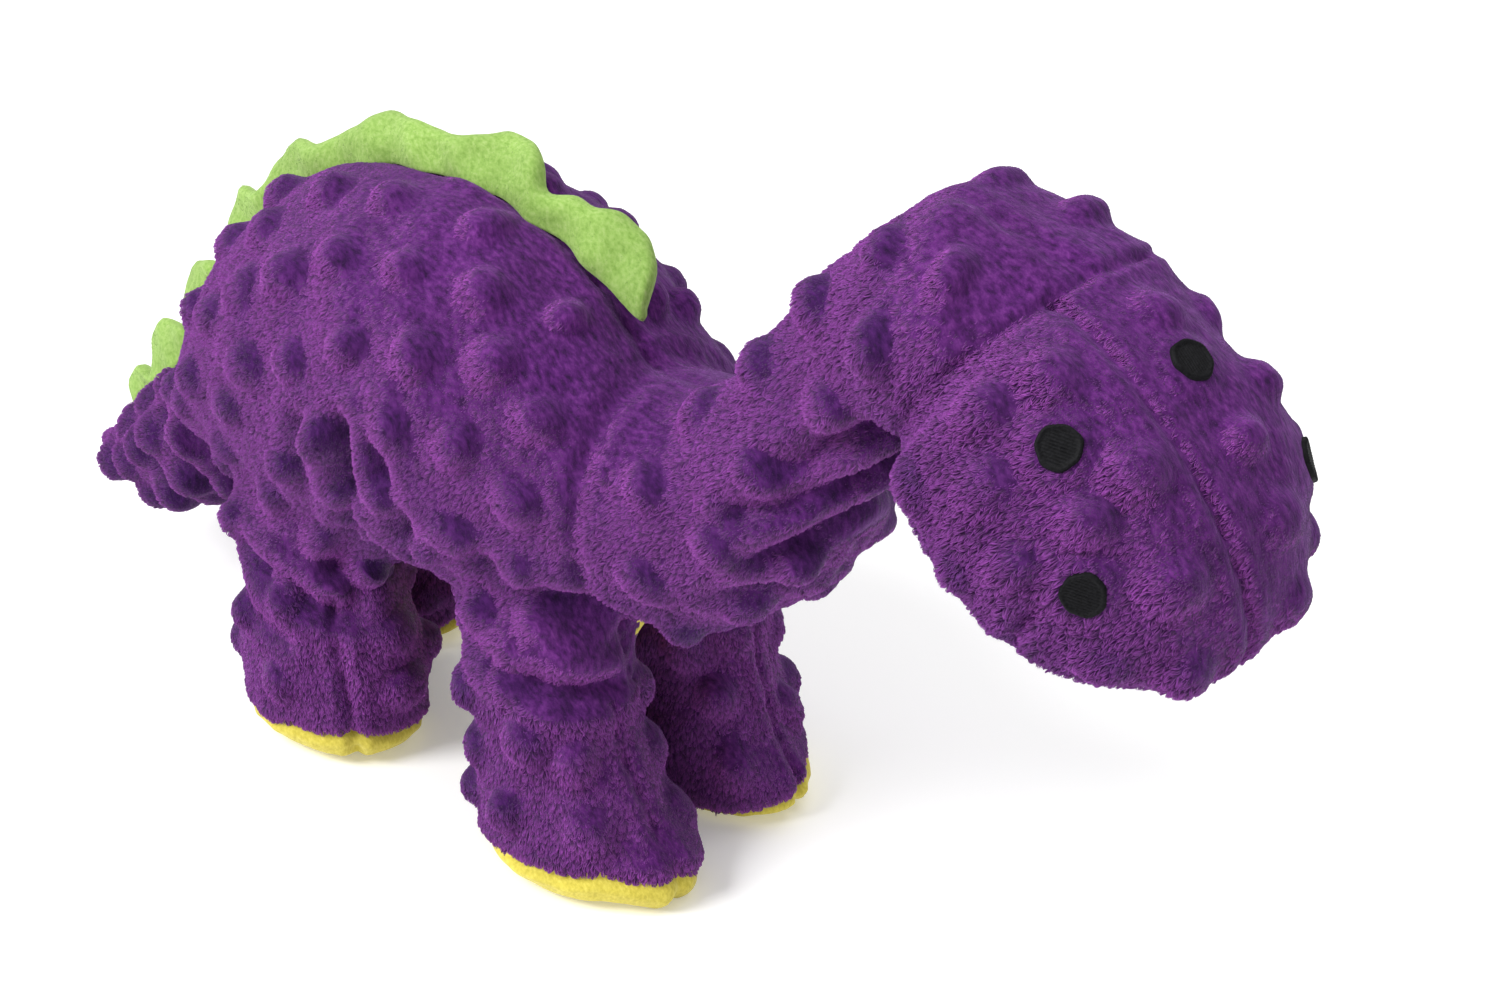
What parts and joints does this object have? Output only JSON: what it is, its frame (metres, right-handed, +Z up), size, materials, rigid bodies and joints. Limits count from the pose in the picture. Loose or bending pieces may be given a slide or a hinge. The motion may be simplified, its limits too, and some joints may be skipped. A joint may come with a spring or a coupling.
{
  "type": "stuffed dinosaur",
  "caption": "Standing stuffed long-necked dinosaur with bumpy pile skin, puffy spine crest, fleece soles and embroidered spots, bending at neck, head, tail and legs.",
  "frame": {"origin": "on the standing plane under the middle of the toy's box", "axes": "+X towards the head, +Y towards the toy's left, +Z up"},
  "size_m": [0.3837, 0.0972, 0.1849],
  "materials": {
    "pile_fabric": "short pile with raised dots",
    "crest_fleece": "smooth fleece",
    "sole_fleece": "smooth fleece",
    "spot_thread": "satin embroidery",
    "fibre_fill": "loose polyester fibre",
    "squeaker_plastic": "moulded"
  },
  "bodies": {
    "torso": {"flank_left": "pile_fabric", "flank_right": "pile_fabric", "belly_panel": "sole_fleece", "torso_stuffing": "fibre_fill", "squeaker_case": "squeaker_plastic", "squeaker_reed": "squeaker_plastic", "back_crest": "crest_fleece"},
    "neck": {"neck_skin_left": "pile_fabric", "neck_skin_right": "pile_fabric", "neck_stuffing": "fibre_fill"},
    "head": {"face_left": "pile_fabric", "face_right": "pile_fabric", "chin_panel": "pile_fabric", "head_stuffing": "fibre_fill", "eye_left": "spot_thread", "eye_right": "spot_thread", "nostril_left": "spot_thread", "nostril_right": "spot_thread"},
    "tail": {"tail_skin_left": "pile_fabric", "tail_skin_right": "pile_fabric", "tail_stuffing": "fibre_fill", "tail_crest": "crest_fleece"},
    "front_right_leg": {"front_right_outer_panel": "pile_fabric", "front_right_inner_panel": "pile_fabric", "front_right_sole": "sole_fleece", "front_right_stuffing": "fibre_fill"},
    "front_left_leg": {"front_left_outer_panel": "pile_fabric", "front_left_inner_panel": "pile_fabric", "front_left_sole": "sole_fleece", "front_left_stuffing": "fibre_fill"},
    "rear_right_leg": {"rear_right_outer_panel": "pile_fabric", "rear_right_inner_panel": "pile_fabric", "rear_right_sole": "sole_fleece", "rear_right_stuffing": "fibre_fill"},
    "rear_left_leg": {"rear_left_outer_panel": "pile_fabric", "rear_left_inner_panel": "pile_fabric", "rear_left_sole": "sole_fleece", "rear_left_stuffing": "fibre_fill"}
  },
  "joints": [
    {"name": "neck_bend", "type": "hinge", "parent": "torso", "child": "neck", "pos_m": [0.04, 0, 0.1], "axis": [0, 1, 0], "range_deg": [-15, 15], "stiffness_Nm_per_rad": 2, "springref_deg": -1.72},
    {"name": "head_nod", "type": "hinge", "parent": "neck", "child": "head", "pos_m": [0.12679, 0.00123, 0.16143], "axis": [0.2911, 0.9262, 0.2395], "range_deg": [-12, 10], "stiffness_Nm_per_rad": 1.2, "springref_deg": -1.15},
    {"name": "tail_sway", "type": "hinge", "parent": "torso", "child": "tail", "pos_m": [-0.119, 0, 0.0675], "axis": [-0.769, 0, 0.6392], "range_deg": [-15, 15], "stiffness_Nm_per_rad": 0.6},
    {"name": "front_right_hip", "type": "hinge", "parent": "torso", "child": "front_right_leg", "pos_m": [0.017, -0.024, 0.054], "axis": [0, 1, 0], "range_deg": [-12, 12], "stiffness_Nm_per_rad": 4},
    {"name": "front_left_hip", "type": "hinge", "parent": "torso", "child": "front_left_leg", "pos_m": [0.017, 0.024, 0.054], "axis": [0, 1, 0], "range_deg": [-12, 12], "stiffness_Nm_per_rad": 4},
    {"name": "rear_right_hip", "type": "hinge", "parent": "torso", "child": "rear_right_leg", "pos_m": [-0.068, -0.024, 0.056], "axis": [0, 1, 0], "range_deg": [-12, 12], "stiffness_Nm_per_rad": 4},
    {"name": "rear_left_hip", "type": "hinge", "parent": "torso", "child": "rear_left_leg", "pos_m": [-0.07, 0.024, 0.056], "axis": [0, 1, 0], "range_deg": [-12, 12], "stiffness_Nm_per_rad": 4}
  ]
}
